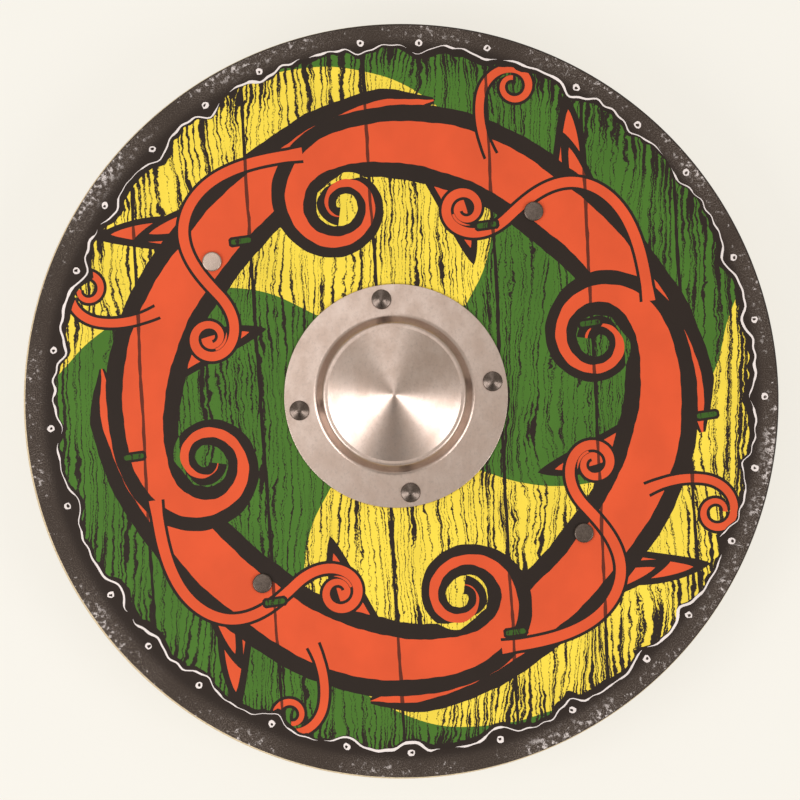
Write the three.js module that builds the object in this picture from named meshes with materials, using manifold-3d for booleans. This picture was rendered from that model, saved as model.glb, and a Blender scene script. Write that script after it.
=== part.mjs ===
// Round wooden shield with a pressed steel boss, and two leather straps on its back.
// Millimetres, +Z up. It lies on its straps with its painted face up. The origin is on the
// ground, straight below the board's centre.
import * as THREE from "three";
import { mergeVertices } from "three/addons/utils/BufferGeometryUtils.js";
import Module from "manifold-3d";

// Room kept between pieces that touch
const fitGap = 0.3;

// Board
const boardDiameter = 380;
const boardThickness = 8;
const boardArris = 0.8;
const boardSides = 128;

// Boss: a flange, a steep wall, a narrow ledge and a cone, all pressed from one sheet
const bossCentre = [-2.6, 2.7];
const sheetThickness = 1;
const wallFootDiameter = 79;
const flangeWidth = 16.8;
const wallSpread = 3.9;
const wallHeight = 7;
const ledgeWidth = 2.1;
const coneHeight = 13;
const footFilletRadius = 3;
const shoulderRadius = 2;
const creaseRadius = 0.8;
const tipRadius = 2;
const pressedFormOffset = [-0.8, 0.8];
const bossSides = 72;
const bossBendSteps = [2, 1, 3, 4];

// Rivets that hold the boss
const bossRivetFromEdge = 7.2;
const bossRivetTurn = 8.6;
const bossRivetShank = 5;
const coneHeadDiameter = 10;
const coneHeadRim = 0.9;
const coneHeadBevel = 0.5;
const coneHeadHeight = 2.7;

// Rivets that hold the straps
const strapPatternCentre = [-1.6, 2];
const strapPatternTurn = 8.9;
const strapRivetAlong = 163.8;
const strapRivetAcross = 163.8;
const strapRivetShank = 5;
const flatHeadDiameter = 9.8;
const flatHeadHeight = 1.3;
const flatHeadBevel = 0.4;

// Rear end of every rivet: a washer with a low head spread over it
const washerDiameter = 12;
const washerThickness = 1;
const rearHeadDiameter = 8;
const rearHeadHeight = 1.2;
const rearHeadBevel = 0.4;

const rivetHoleClearance = 0.3;
const rivetSides = 18;

// Straps
const strapWidth = 30;
const strapThickness = 3;
const handGap = 34;
const strapCrownLength = 80;
const strapTabLength = 30;
const strapTabEnd = 12;
const crownBendRadius = 26;
const tabBendRadius = 16;
const strapBendSteps = 5;
const endSteps = 10;

// Sizes and heights that follow from these
const flangeDiameter = wallFootDiameter + 2 * flangeWidth;
const wallTopDiameter = wallFootDiameter - 2 * wallSpread;
const coneDiameter = wallTopDiameter - 2 * ledgeWidth;
const bossRivetCircle = flangeDiameter - 2 * bossRivetFromEdge;
const boardBackZ = strapThickness + handGap;
const boardFaceZ = boardBackZ + boardThickness;
const flangeUndersideZ = boardFaceZ + fitGap;
const flangeTopZ = flangeUndersideZ + sheetThickness;
const tabTopZ = boardBackZ - fitGap;
const tabUndersideZ = tabTopZ - strapThickness;

const plywood = new THREE.MeshStandardMaterial({ color: 0xc9a26b, roughness: 0.6, metalness: 0 });
const steel = new THREE.MeshStandardMaterial({ color: 0xb9b2ab, roughness: 0.35, metalness: 1 });
const rivetSteel = new THREE.MeshStandardMaterial({ color: 0x6f6660, roughness: 0.4, metalness: 1 });
const leather = new THREE.MeshStandardMaterial({ color: 0x5a3823, roughness: 0.7, metalness: 0 });

const wasm = await Module();
wasm.setup();

// The closed solid that a geometry bounds
function solidOf(geometry) {
  const bare = geometry.clone();
  bare.deleteAttribute("normal");
  bare.deleteAttribute("uv");
  const merged = mergeVertices(bare, 1e-4);
  const corners = [];
  for (let i = 0; i < merged.index.count; i += 3) {
    const [a, b, c] = [0, 1, 2].map((k) => merged.index.getX(i + k));
    if (a !== b && b !== c && c !== a) corners.push(a, b, c);
  }
  return new wasm.Manifold(new wasm.Mesh({
    numProp: 3,
    vertProperties: new Float32Array(merged.attributes.position.array),
    triVerts: new Uint32Array(corners),
  }));
}

function geometryOf(solid) {
  const mesh = solid.getMesh();
  const geometry = new THREE.BufferGeometry();
  geometry.setAttribute("position", new THREE.BufferAttribute(new Float32Array(mesh.vertProperties), 3));
  geometry.setIndex(new THREE.BufferAttribute(new Uint32Array(mesh.triVerts), 1));
  geometry.computeVertexNormals();
  return geometry;
}

// A solid turned about Z. Its profile holds [radius, z] pairs, from the bottom up, and starts
// and ends on the axis.
function turned(profile, sides) {
  const points = profile.map(([r, z]) => new THREE.Vector2(r, z));
  return new THREE.LatheGeometry(points, sides).rotateX(Math.PI / 2);
}

// An upright round bar, used for holes and for trimming
function bar(diameter, lowZ, highZ, sides, x = 0, y = 0) {
  const shape = turned([[0, lowZ], [diameter / 2, lowZ], [diameter / 2, highZ], [0, highZ]], sides);
  return solidOf(shape.translate(x, y, 0));
}

// A line through corners, each rounded by an arc of its own radius, in its own count of steps
function roundedLine(corners, radii, steps) {
  const line = [corners[0].clone()];
  for (let i = 1; i < corners.length - 1; i++) {
    const back = corners[i - 1].clone().sub(corners[i]).normalize();
    const ahead = corners[i + 1].clone().sub(corners[i]).normalize();
    const half = back.angleTo(ahead) / 2;
    const toCentre = back.clone().add(ahead).normalize().multiplyScalar(radii[i - 1] / Math.sin(half));
    const centre = corners[i].clone().add(toCentre);
    const setBack = radii[i - 1] / Math.tan(half);
    const from = corners[i].clone().addScaledVector(back, setBack).sub(centre);
    const to = corners[i].clone().addScaledVector(ahead, setBack).sub(centre);
    const sweep = Math.atan2(from.cross(to), from.dot(to));
    for (let k = 0; k <= steps[i - 1]; k++) {
      const turn = (sweep * k) / steps[i - 1];
      line.push(from.clone().rotateAround(new THREE.Vector2(), turn).add(centre));
    }
  }
  line.push(corners[corners.length - 1].clone());
  return line;
}

// The line moved sideways, to its left
function beside(line, distance) {
  return line.map((point, i) => {
    const before = line[Math.max(i - 1, 0)];
    const after = line[Math.min(i + 1, line.length - 1)];
    const one = point.clone().sub(before).normalize();
    const two = after.clone().sub(point).normalize();
    const along = one.clone().add(two).normalize();
    const stretch = Math.max(along.dot(one), along.dot(two));
    return new THREE.Vector2(-along.y, along.x).multiplyScalar(distance / stretch).add(point);
  });
}

// Places of four things on a circle or at a rectangle's corners, in the board's frame
function turnedPlace([x, y], degrees, [centreX, centreY]) {
  const place = new THREE.Vector2(x, y).rotateAround(new THREE.Vector2(), THREE.MathUtils.degToRad(degrees));
  return [place.x + centreX, place.y + centreY];
}

const bossRivetPlaces = [[1, 0], [0, 1], [-1, 0], [0, -1]].map(([right, up]) =>
  turnedPlace([(right * bossRivetCircle) / 2, (up * bossRivetCircle) / 2], bossRivetTurn, bossCentre));

const strapRivetPlaces = [[1, 1], [-1, 1], [-1, -1], [1, -1]].map(([across, along]) =>
  turnedPlace(
    [(across * strapRivetAcross) / 2, (along * strapRivetAlong) / 2],
    strapPatternTurn,
    strapPatternCentre,
  ));

function boardGeometry() {
  const radius = boardDiameter / 2;
  const disc = turned([
    [0, boardBackZ],
    [radius - boardArris, boardBackZ],
    [radius, boardBackZ + boardArris],
    [radius, boardFaceZ - boardArris],
    [radius - boardArris, boardFaceZ],
    [0, boardFaceZ],
  ], boardSides);
  let board = solidOf(disc);
  const cut = (shank, places) => places.forEach(([x, y]) => {
    const hole = shank + 2 * rivetHoleClearance;
    board = board.subtract(bar(hole, boardBackZ - 1, boardFaceZ + 1, rivetSides, x, y));
  });
  cut(bossRivetShank, bossRivetPlaces);
  cut(strapRivetShank, strapRivetPlaces);
  return geometryOf(board);
}

// The sheet's middle, as a profile from the tip out past the flange's edge
function bossMiddle() {
  const z = flangeUndersideZ + sheetThickness / 2;
  const spare = flangeDiameter / 2 + Math.hypot(...pressedFormOffset) + 1;
  const ledgeZ = z + wallHeight;
  const coneRadius = coneDiameter / 2;
  const corners = [
    new THREE.Vector2(-coneRadius, ledgeZ),
    new THREE.Vector2(0, ledgeZ + coneHeight),
    new THREE.Vector2(coneRadius, ledgeZ),
    new THREE.Vector2(wallTopDiameter / 2, ledgeZ),
    new THREE.Vector2(wallFootDiameter / 2, z),
    new THREE.Vector2(spare, z),
  ];
  const radii = [tipRadius, creaseRadius, shoulderRadius, footFilletRadius];
  const line = roundedLine(corners, radii, bossBendSteps);
  const right = line.filter((point) => point.x > 1e-6);
  const tip = line.find((point) => Math.abs(point.x) <= 1e-6);
  return [tip, ...right];
}

function bossGeometry() {
  const middle = bossMiddle();
  const mirrored = middle.slice(1).reverse().map((point) => new THREE.Vector2(-point.x, point.y));
  const whole = [...mirrored, ...middle];
  const half = (line) => line.slice(mirrored.length);
  const top = half(beside(whole, sheetThickness / 2));
  const underside = half(beside(whole, -sheetThickness / 2));
  const profile = [...underside, ...top.reverse()].map((point) => [Math.max(point.x, 0), point.y]);
  profile[0][0] = 0;
  profile[profile.length - 1][0] = 0;
  const [formX, formY] = [0, 1].map((k) => bossCentre[k] + pressedFormOffset[k]);
  const pressed = solidOf(turned(profile, bossSides).translate(formX, formY, 0));
  const highest = flangeTopZ + wallHeight + coneHeight + 1;
  const trim = bar(flangeDiameter, boardFaceZ - 1, highest, bossSides, ...bossCentre);
  let boss = pressed.intersect(trim);
  for (const [x, y] of bossRivetPlaces) {
    const hole = bossRivetShank + 2 * rivetHoleClearance;
    boss = boss.subtract(bar(hole, boardFaceZ - 1, flangeTopZ + 1, rivetSides, x, y));
  }
  return geometryOf(boss);
}

// The lower end of a rivet's profile, below the surface at z that its washer bears on
function rearEnd(shankRadius, z) {
  const washer = washerDiameter / 2;
  const head = rearHeadDiameter / 2;
  const bearing = z - fitGap;
  const washerFoot = bearing - washerThickness;
  return [
    [0, washerFoot - rearHeadHeight],
    [head - rearHeadBevel, washerFoot - rearHeadHeight],
    [head, washerFoot - rearHeadHeight + rearHeadBevel],
    [head, washerFoot],
    [washer, washerFoot],
    [washer, bearing],
    [shankRadius, bearing],
  ];
}

function bossRivetGeometry() {
  const seat = flangeTopZ + fitGap;
  const head = coneHeadDiameter / 2;
  const profile = rearEnd(bossRivetShank / 2, boardBackZ);
  profile.push(
    [bossRivetShank / 2, seat],
    [head, seat],
    [head, seat + coneHeadRim],
    [head - coneHeadBevel, seat + coneHeadRim + coneHeadBevel],
    [0, seat + coneHeadHeight],
  );
  return turned(profile, rivetSides);
}

function strapRivetGeometry() {
  const seat = boardFaceZ + fitGap;
  const head = flatHeadDiameter / 2;
  const profile = rearEnd(strapRivetShank / 2, tabUndersideZ);
  profile.push(
    [strapRivetShank / 2, seat],
    [head, seat],
    [head, seat + flatHeadHeight - flatHeadBevel],
    [head - flatHeadBevel, seat + flatHeadHeight],
    [0, seat + flatHeadHeight],
  );
  return turned(profile, rivetSides);
}

// The strap seen from its side: tabs under the board at both ends, and a level crown between
function strapSide() {
  const tabZ = tabTopZ - strapThickness / 2;
  const crownZ = strapThickness / 2;
  const end = strapRivetAlong / 2 + strapTabEnd;
  const knee = end - strapTabLength;
  const crown = strapCrownLength / 2;
  const corners = [
    new THREE.Vector2(-end, tabZ),
    new THREE.Vector2(-knee, tabZ),
    new THREE.Vector2(-crown, crownZ),
    new THREE.Vector2(crown, crownZ),
    new THREE.Vector2(knee, tabZ),
    new THREE.Vector2(end, tabZ),
  ];
  const radii = [tabBendRadius, crownBendRadius, crownBendRadius, tabBendRadius];
  const middle = roundedLine(corners, radii, radii.map(() => strapBendSteps));
  const upper = beside(middle, strapThickness / 2);
  const lower = beside(middle, -strapThickness / 2);
  return new THREE.Shape([...lower, ...upper.reverse()]);
}

// The strap seen from above, with round ends
function strapPlan() {
  const radius = strapWidth / 2;
  const straight = strapRivetAlong / 2 + strapTabEnd - radius;
  const plan = new THREE.Shape();
  plan.absarc(0, straight, radius, 0, Math.PI);
  plan.absarc(0, -straight, radius, Math.PI, 2 * Math.PI);
  plan.closePath();
  return plan;
}

// A strap along Y, over the origin, with a hole for each of its two rivets
function strapGeometry() {
  const side = new THREE.ExtrudeGeometry(strapSide(), { depth: strapWidth, bevelEnabled: false });
  side.translate(0, 0, -strapWidth / 2);
  side.rotateX(Math.PI / 2);
  side.rotateZ(Math.PI / 2);
  const plan = new THREE.ExtrudeGeometry(strapPlan(), {
    depth: boardFaceZ + 2,
    bevelEnabled: false,
    curveSegments: endSteps,
  });
  plan.translate(0, 0, -1);
  let strap = solidOf(side).intersect(solidOf(plan));
  for (const end of [-1, 1]) {
    const hole = strapRivetShank + 2 * rivetHoleClearance;
    const y = (end * strapRivetAlong) / 2;
    strap = strap.subtract(bar(hole, tabUndersideZ - 1, boardBackZ + 1, rivetSides, 0, y));
  }
  return geometryOf(strap);
}

function named(name, geometry, material) {
  const mesh = new THREE.Mesh(geometry, material);
  mesh.name = name;
  return mesh;
}

const shield = new THREE.Group();
shield.add(named("board", boardGeometry(), plywood));
shield.add(named("boss", bossGeometry(), steel));

bossRivetPlaces.forEach(([x, y], i) => {
  const rivet = named(`boss_rivet_${i + 1}`, bossRivetGeometry(), rivetSteel);
  rivet.position.set(x, y, 0);
  shield.add(rivet);
});

strapRivetPlaces.forEach(([x, y], i) => {
  const rivet = named(`strap_rivet_${i + 1}`, strapRivetGeometry(), rivetSteel);
  rivet.position.set(x, y, 0);
  shield.add(rivet);
});

const straps = new THREE.Group();
straps.position.set(...strapPatternCentre, 0);
straps.rotation.z = THREE.MathUtils.degToRad(strapPatternTurn);
[["arm_strap", -1], ["grip_strap", 1]].forEach(([name, side]) => {
  const strap = named(name, strapGeometry(), leather);
  strap.position.x = (side * strapRivetAcross) / 2;
  straps.add(strap);
});
shield.add(straps);

export default shield;
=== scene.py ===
"""Dresses a wooden round shield: a printed plywood board, a pressed steel boss, rivets and leather straps."""

import math

import bmesh
import bpy
import numpy as np
from bpy.props import FloatProperty, FloatVectorProperty, IntProperty, PointerProperty
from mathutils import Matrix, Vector
from mathutils.geometry import delaunay_2d_cdt


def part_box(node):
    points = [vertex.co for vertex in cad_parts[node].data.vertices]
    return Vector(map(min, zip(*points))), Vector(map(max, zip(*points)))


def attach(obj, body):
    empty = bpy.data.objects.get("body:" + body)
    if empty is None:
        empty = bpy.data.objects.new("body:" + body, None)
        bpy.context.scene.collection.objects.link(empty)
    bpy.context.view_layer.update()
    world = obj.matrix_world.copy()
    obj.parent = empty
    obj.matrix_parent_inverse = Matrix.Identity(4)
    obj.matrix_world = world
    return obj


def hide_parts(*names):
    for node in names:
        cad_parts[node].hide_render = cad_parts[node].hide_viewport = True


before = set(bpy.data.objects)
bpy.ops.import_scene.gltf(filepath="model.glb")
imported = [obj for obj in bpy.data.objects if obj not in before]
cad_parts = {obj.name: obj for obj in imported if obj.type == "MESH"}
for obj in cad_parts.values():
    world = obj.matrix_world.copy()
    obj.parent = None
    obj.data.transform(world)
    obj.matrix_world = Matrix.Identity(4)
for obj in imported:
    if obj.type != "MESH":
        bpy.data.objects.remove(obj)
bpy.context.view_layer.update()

bl_info = {
    "name": "Round Shield Dressing",
    "version": (1, 0, 0),
    "blender": (4, 5, 0),
    "location": "3D View > Sidebar > Shield",
    "description": "Builds the visible pieces of a printed round shield around its solid model",
    "category": "Object",
}

# The print and the turned profiles are drawn in millimetres.
MM = 0.001
BODY = "root"

# Places and sizes taken from the solid model


def centre(node):
    low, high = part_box(node)
    return (low + high) / 2


BOARD_LOW, BOARD_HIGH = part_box("board")
BOARD_RADIUS = (BOARD_HIGH.x - BOARD_LOW.x) / 2 / MM
FACE_Z = BOARD_HIGH.z / MM
BACK_Z = BOARD_LOW.z / MM
BOSS_LOW, BOSS_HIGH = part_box("boss")
BOSS_CENTRE = centre("boss") / MM
FLANGE_RADIUS = (BOSS_HIGH.x - BOSS_LOW.x) / 2 / MM
BOSS_RIVETS = [f"boss_rivet_{i}" for i in (1, 2, 3, 4)]
STRAP_RIVETS = [f"strap_rivet_{i}" for i in (1, 2, 3, 4)]
STRAPS = ("arm_strap", "grip_strap")
BOARD_ARRIS = 0.8
HOLE_RADIUS = 2.8


def ring_of(names):
    """Centre, radius and turn of the circle that four rivets stand on, in millimetres and radians."""
    places = [centre(name) / MM for name in names]
    middle = sum(places, Vector()) / len(places)
    arm = places[0] - middle
    return middle, math.hypot(arm.x, arm.y), math.atan2(arm.y, arm.x)


BOSS_RING = ring_of(BOSS_RIVETS)
STRAP_RING = ring_of(STRAP_RIVETS)


def linear(red, green, blue):
    """A screen colour of 0 to 255 as linear light."""
    parts = [value / 255 for value in (red, green, blue)]
    return tuple(p / 12.92 if p <= 0.04045 else ((p + 0.055) / 1.055) ** 2.4 for p in parts)


# Settings


def colour_setting(name, description, screen):
    return FloatVectorProperty(
        name=name, description=description, default=linear(*screen), size=3, min=0, max=1, subtype="COLOR"
    )


def length_setting(name, description, default):
    return FloatProperty(name=name, description=description, default=default, min=0, unit="LENGTH")


class ShieldPrintSettings(bpy.types.PropertyGroup):
    """Inks of the printed face"""

    yellow: colour_setting("Yellow", "Yellow of the whirl", (250, 222, 74))
    green: colour_setting("Green", "Green of the whirl", (72, 118, 38))
    orange: colour_setting("Orange", "Ornament", (229, 88, 47))
    black: colour_setting("Black", "Key ink: outlines, grain and rim", (40, 29, 23))
    white: colour_setting("White", "Bare white of the rim's line and tacks", (242, 232, 230))
    centre: FloatVectorProperty(
        name="Centre",
        description="How far the print was laid off the board's centre",
        default=(0.44 * MM, 0.32 * MM),
        size=2,
        unit="LENGTH",
    )
    radius: length_setting("Radius", "Radius that the print reaches", 189.6 * MM)
    rim_width: length_setting("Rim width", "Width of the black band round the edge", 12.3 * MM)


class ShieldBoardSettings(bpy.types.PropertyGroup):
    """Plywood of the board"""

    ply_light: colour_setting("Light ply", "Plies that run with the face", (222, 202, 168))
    ply_dark: colour_setting("Dark ply", "Plies that show end grain", (168, 134, 92))
    plies: IntProperty(name="Plies", description="Layers in the board's thickness", default=5, min=3)
    sides: IntProperty(name="Sides", description="Straight steps round the edge", default=360, min=48)


class ShieldBossSettings(bpy.types.PropertyGroup):
    """Pressed steel boss"""

    steel: colour_setting("Steel", "Bare steel of the boss", (212, 193, 183))
    sides: IntProperty(name="Sides", description="Steps round the boss", default=180, min=24)
    sheet: length_setting("Sheet", "Thickness of the sheet", 1.0 * MM)
    wall_foot: length_setting("Wall foot", "Radius where the wall meets the flange", 39.5 * MM)
    wall_spread: length_setting("Wall spread", "How far the wall leans in", 3.9 * MM)
    wall_height: length_setting("Wall height", "Height of the wall over the flange", 7.0 * MM)
    ledge: length_setting("Ledge", "Width of the ledge round the cone", 2.1 * MM)
    cone_height: length_setting("Cone height", "Height of the cone over the ledge", 13.0 * MM)


class ShieldRivetSettings(bpy.types.PropertyGroup):
    """Steel rivets"""

    steel: colour_setting("Steel", "Darkened steel of the rivets", (112, 100, 93))
    head: length_setting("Head", "Radius of a rivet's front head", 5.0 * MM)
    flat_head: length_setting("Flat head", "Radius of a flat head", 4.9 * MM)
    sides: IntProperty(name="Sides", description="Steps round a rivet", default=48, min=12)


class ShieldStrapSettings(bpy.types.PropertyGroup):
    """Leather straps"""

    leather: colour_setting("Leather", "Brown of the grain side", (92, 60, 40))
    edge: colour_setting("Edge", "Darker, burnished edge", (52, 34, 24))
    width: length_setting("Width", "Width of a strap", 30.0 * MM)
    thickness: length_setting("Thickness", "Thickness of the leather", 3.0 * MM)


class ShieldStudioSettings(bpy.types.PropertyGroup):
    """Floor, lamps and camera"""

    floor: colour_setting("Floor", "Pale floor", (249, 246, 238))
    distance: length_setting("Distance", "Camera's height over the printed face", 1.6)
    frame_width: length_setting("Frame width", "Width of the view at the printed face", 0.40254)


# Node trees


class Graph:
    """Adds nodes to a tree. A value may be a number, a tuple or another node's output."""

    def __init__(self, tree):
        self.tree = tree

    def add(self, kind, *values, **settings):
        node = self.tree.nodes.new(kind)
        for key, value in settings.items():
            setattr(node, key, value)
        for socket, value in zip(node.inputs, values):
            self.feed(socket, value)
        return node

    def feed(self, socket, value):
        if value is None:
            return
        if isinstance(value, bpy.types.NodeSocket):
            self.tree.links.new(value, socket)
        else:
            socket.default_value = value

    def math(self, operation, *values):
        return self.add("ShaderNodeMath", *values, operation=operation).outputs[0]

    def vector(self, operation, *values):
        return self.add("ShaderNodeVectorMath", *values, operation=operation).outputs[0]

    def scaled(self, vector, factors):
        return self.vector("MULTIPLY", vector, factors)

    def combine(self, x=0.0, y=0.0, z=0.0):
        return self.add("ShaderNodeCombineXYZ", x, y, z).outputs[0]

    def noise(self, vector, detail=2.0, roughness=0.5):
        node = self.add("ShaderNodeTexNoise")
        self.feed(node.inputs["Vector"], vector)
        self.feed(node.inputs["Scale"], 1.0)
        self.feed(node.inputs["Detail"], detail)
        self.feed(node.inputs["Roughness"], roughness)
        return node.outputs["Fac"]

    def ramp(self, value, low, high, start=0.0, end=1.0):
        """Smooth step of value from low to high, given as start to end."""
        node = self.add("ShaderNodeMapRange", value, low, high, start, end, interpolation_type="SMOOTHSTEP")
        return node.outputs[0]

    def mix(self, factor, one, two):
        node = self.add("ShaderNodeMix", data_type="RGBA")
        self.feed(node.inputs[0], factor)
        self.feed(node.inputs[6], one)
        self.feed(node.inputs[7], two)
        return node.outputs[2]


def opaque(colour):
    return (*colour, 1.0)


def new_material(name):
    """A material with an empty Principled surface, its graph and its object coordinates in millimetres."""
    material = bpy.data.materials.new(name)
    material.use_nodes = True
    graph = Graph(material.node_tree)
    surface = material.node_tree.nodes["Principled BSDF"]
    place = graph.add("ShaderNodeTexCoord").outputs["Object"]
    return material, graph, surface, graph.scaled(place, (1 / MM, 1 / MM, 1 / MM))


def bump(graph, surface, height, strength, distance=0.2):
    node = graph.add("ShaderNodeBump")
    graph.feed(node.inputs["Strength"], strength)
    graph.feed(node.inputs["Distance"], distance * MM)
    graph.feed(node.inputs["Height"], height)
    graph.feed(surface.inputs["Normal"], node.outputs["Normal"])


# The print's plan. Lengths in millimetres, from the print's centre.

SEAMS = [
    (-130.6, -0.050),
    (-71.0, -0.069),
    (-9.3, -0.061),
    (50.0, -0.053),
    (97.3, -0.050),
    (143.6, -0.064),
]  # (x half way up, lean)
STAPLES = [
    (-81.0, 80.3),
    (94.6, 39.1),
    (-134.9, -28.3),
    (153.4, -7.2),
    (57.3, -116.4),
    (-63.9, -101.3),
    (42.7, 88.4),
]
STAPLE_SIZE = (10.0, 2.6)
STAPLE_TILT = math.radians(8)
STAPLE_OUTLINE = 1.3

UPPER_EDGE = [
    (-85, 158), (-63, 165), (-40, 168), (-21, 166), (-1, 160), (19, 147),
    (35, 129), (44, 106), (45, 85), (41, 66), (32, 48),
]
LEFT_EDGE = [(-43, 43), (-67, 54), (-91, 57), (-109, 55), (-132, 47), (-157, 30), (-171, 15), (-184, 2)]
LOWER_EDGE = [
    (-36, -44), (-45, -62), (-49, -82), (-48, -102), (-39, -125), (-23, -144),
    (-3, -156), (17, -163), (36, -164), (59, -161), (81, -155), (93, -161),
]
RIGHT_EDGE = [
    (39, -35), (59, -41), (79, -43), (100, -40), (120, -31), (140, -14),
    (150, 0), (159, 20), (164, 41), (174, 66),
]

TACKS = 29
TACK_SIZE = 1.9
CONTOUR_SHIFT = (2.2, 1.6)


def loops_of(outline):
    return outline if isinstance(outline, tuple) else (outline,)


def polar(radius, angle):
    return np.array([radius * math.cos(angle), radius * math.sin(angle)])


def turned_by(points, angle):
    cos, sin = math.cos(angle), math.sin(angle)
    return np.asarray(points) @ np.array([[cos, sin], [-sin, cos]])


def arc(radius, start, end, step=2.0):
    """Points along an arc about the print's centre. Angles in degrees."""
    count = max(int(abs(end - start) / step), 2)
    return np.array([polar(radius, math.radians(a)) for a in np.linspace(start, end, count + 1)])


def smooth(points, step=3.0):
    """A smooth line through a few points."""
    points = np.asarray(points, float)
    padded = np.vstack([2 * points[0] - points[1], points, 2 * points[-1] - points[-2]])
    line = []
    for a, b, c, d in zip(padded, padded[1:], padded[2:], padded[3:]):
        count = max(int(np.linalg.norm(c - b) / step), 1)
        for t in np.arange(count) / count:
            line.append(0.5 * (2 * b + (c - a) * t + (2 * a - 5 * b + 4 * c - d) * t**2
                               + (3 * b - a - 3 * c + d) * t**3))
    line.append(points[-1])
    return np.array(line)


def walk(start, heading, bends, step=1.2):
    """A line that leaves start at a heading. bends holds (length, curvature at its start, at its end)."""
    line = [np.array(start, float)]
    for length, first, last in bends:
        count = max(int(length / step), 1)
        stride = length / count
        for k in range(count):
            curvature = first + (last - first) * (k + 0.5) / count
            heading += curvature * stride / 2
            line.append(line[-1] + stride * np.array([math.cos(heading), math.sin(heading)]))
            heading += curvature * stride / 2
    return np.array(line)


def lengths_along(line):
    steps = np.linalg.norm(np.diff(line, axis=0), axis=1)
    return np.concatenate([[0], np.cumsum(steps)])


def ribbon(line, left, right=None):
    """The outline of a band along a line, with its width on each side given for each point."""
    right = left if right is None else right
    along = np.gradient(line, axis=0)
    along /= np.linalg.norm(along, axis=1)[:, None]
    aside = np.stack([-along[:, 1], along[:, 0]], axis=1)
    one = line + aside * np.asarray(left)[:, None]
    two = line - aside * np.asarray(right)[:, None]
    return np.vstack([one, two[::-1]])


def disc(place, radius, count=16, squash=1.0):
    angles = np.linspace(0, 2 * np.pi, count, endpoint=False)
    return np.stack([place[0] + radius * np.cos(angles), place[1] + squash * radius * np.sin(angles)], axis=1)


STEM_ROOT = [(-26, 152), (-16, 146), (-4, 136), (10, 128), (24, 125), (38, 124.5)]


def hand_cut(half, s, seed):
    """Widths that swell and shrink a little, as a knife leaves them."""
    sway = np.sin(s / 5.1 + seed) + 0.7 * np.sin(s / 2.3 + 2.1 * seed) + 0.5 * np.sin(s / 1.1 + 3.7 * seed)
    return np.maximum(half + 0.16 * sway, 0.05)


def stem(turn):
    """One curling stem of the ornament: its line and its orange and black half widths."""
    root = smooth([polar(radius, turn + math.radians(angle)) for angle, radius in STEM_ROOT], 2.0)
    ahead = root[-1] - root[-2]
    line = np.vstack([root[:-1], walk(root[-1], math.atan2(ahead[1], ahead[0]), [
        (92, 1 / 122, 1 / 108),
        (34, 1 / 106, 1 / 26),
        (62, 1 / 24, 1 / 18),
        (44, 1 / 18, 1 / 9.5),
        (14, 1 / 9.5, 1 / 6),
    ])])
    s = lengths_along(line)
    orange = np.interp(s, [0, 24, 60, 110, 200, 258, 300, 335, 372, 392],
                       [0.2, 5.2, 10, 12, 12, 8.5, 3.6, 2.4, 2.2, 0.4])
    black = np.interp(s, [0, 24, 60, 120, 210, 266, 315, 360, 392],
                      [1.5, 11.0, 17.5, 20.5, 20, 15, 8.4, 6.0, 4.6])
    return line, hand_cut(orange, s, turn), hand_cut(black, s, turn + 1)


def leaf(start, heading, length, width, bend, outline=4.0):
    """A pointed leaf and the black round it."""
    shapes = []
    for reach, extra, ink in ((length + 2.2 * outline, outline, "black"), (length, 0.0, "orange")):
        line = walk(start, heading, [(reach, bend, bend * 0.3)], step=2.0)
        share = np.linspace(0, 1, len(line))
        half = (width + extra) * (1 - share) ** 0.8 * (0.62 + 0.75 * share) / 0.8
        shapes.append((ribbon(line, half + 0.05), ink))
    return shapes


def tendril(start, heading, bends, width, outline=1.5):
    """A thin even stalk that ends in a curl."""
    line = walk(start, heading, bends, step=1.0)
    s = lengths_along(line)
    half = np.interp(s, [0, 8, s[-1] - 30, s[-1]], [width * 1.2, width, width * 0.85, width * 0.5])
    return [(ribbon(line, half + outline), "black"), (ribbon(line, half), "orange")]


def ornament():
    """Shapes of the ornament in painting order, as (outline, ink)."""
    under, roots, tips, over = [], [], [], []
    degree = math.radians(1)
    for quarter in range(4):
        turn = math.radians(20 + 90 * quarter)
        line, orange, black = stem(turn)
        cut = int(len(line) * 0.40)
        for place, part in ((roots, slice(0, cut + 2)), (tips, slice(cut, None))):
            place.append((ribbon(line[part], black[part]), "black"))
            place.append((ribbon(line[part], orange[part]), "orange"))
        under += leaf(polar(124, turn + 30 * degree), turn + 52 * degree, 52, 7.5, 0.012)
        under += leaf(polar(122, turn + 20 * degree), turn + 70 * degree, 50, 7.0, 0.010)
        under += leaf(polar(118, turn + 62 * degree), turn - 74 * degree, 44, 6.5, -0.012)
        over += tendril(polar(134, turn + 2 * degree), turn + 78 * degree, [
            (42, 0, 1 / 60), (40, 1 / 50, 1 / 24), (34, 1 / 28, 0), (30, -1 / 40, -1 / 14), (34, -1 / 11, -1 / 7),
            (16, -1 / 7, -1 / 4.5),
        ], 2.7)
        over += tendril(polar(131, turn + 50 * degree), turn + 96 * degree, [
            (30, -1 / 70, -1 / 40), (26, -1 / 22, -1 / 12), (30, -1 / 9, -1 / 6), (10, -1 / 6, -1 / 4),
        ], 2.2)
    return under + roots + tips + over


def seam_line(x, lean, random):
    """One board joint, as a hand-cut strip."""
    heights = np.arange(-176, 177, 4.0)
    wander = np.cumsum(random.normal(0, 0.10, len(heights)))
    line = np.stack([x + lean * heights + wander - wander.mean(), heights], axis=1)
    half = 0.62 + 0.40 * random.random(len(heights))
    return ribbon(line, half, half * (0.8 + 0.4 * random.random(len(heights))))


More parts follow.
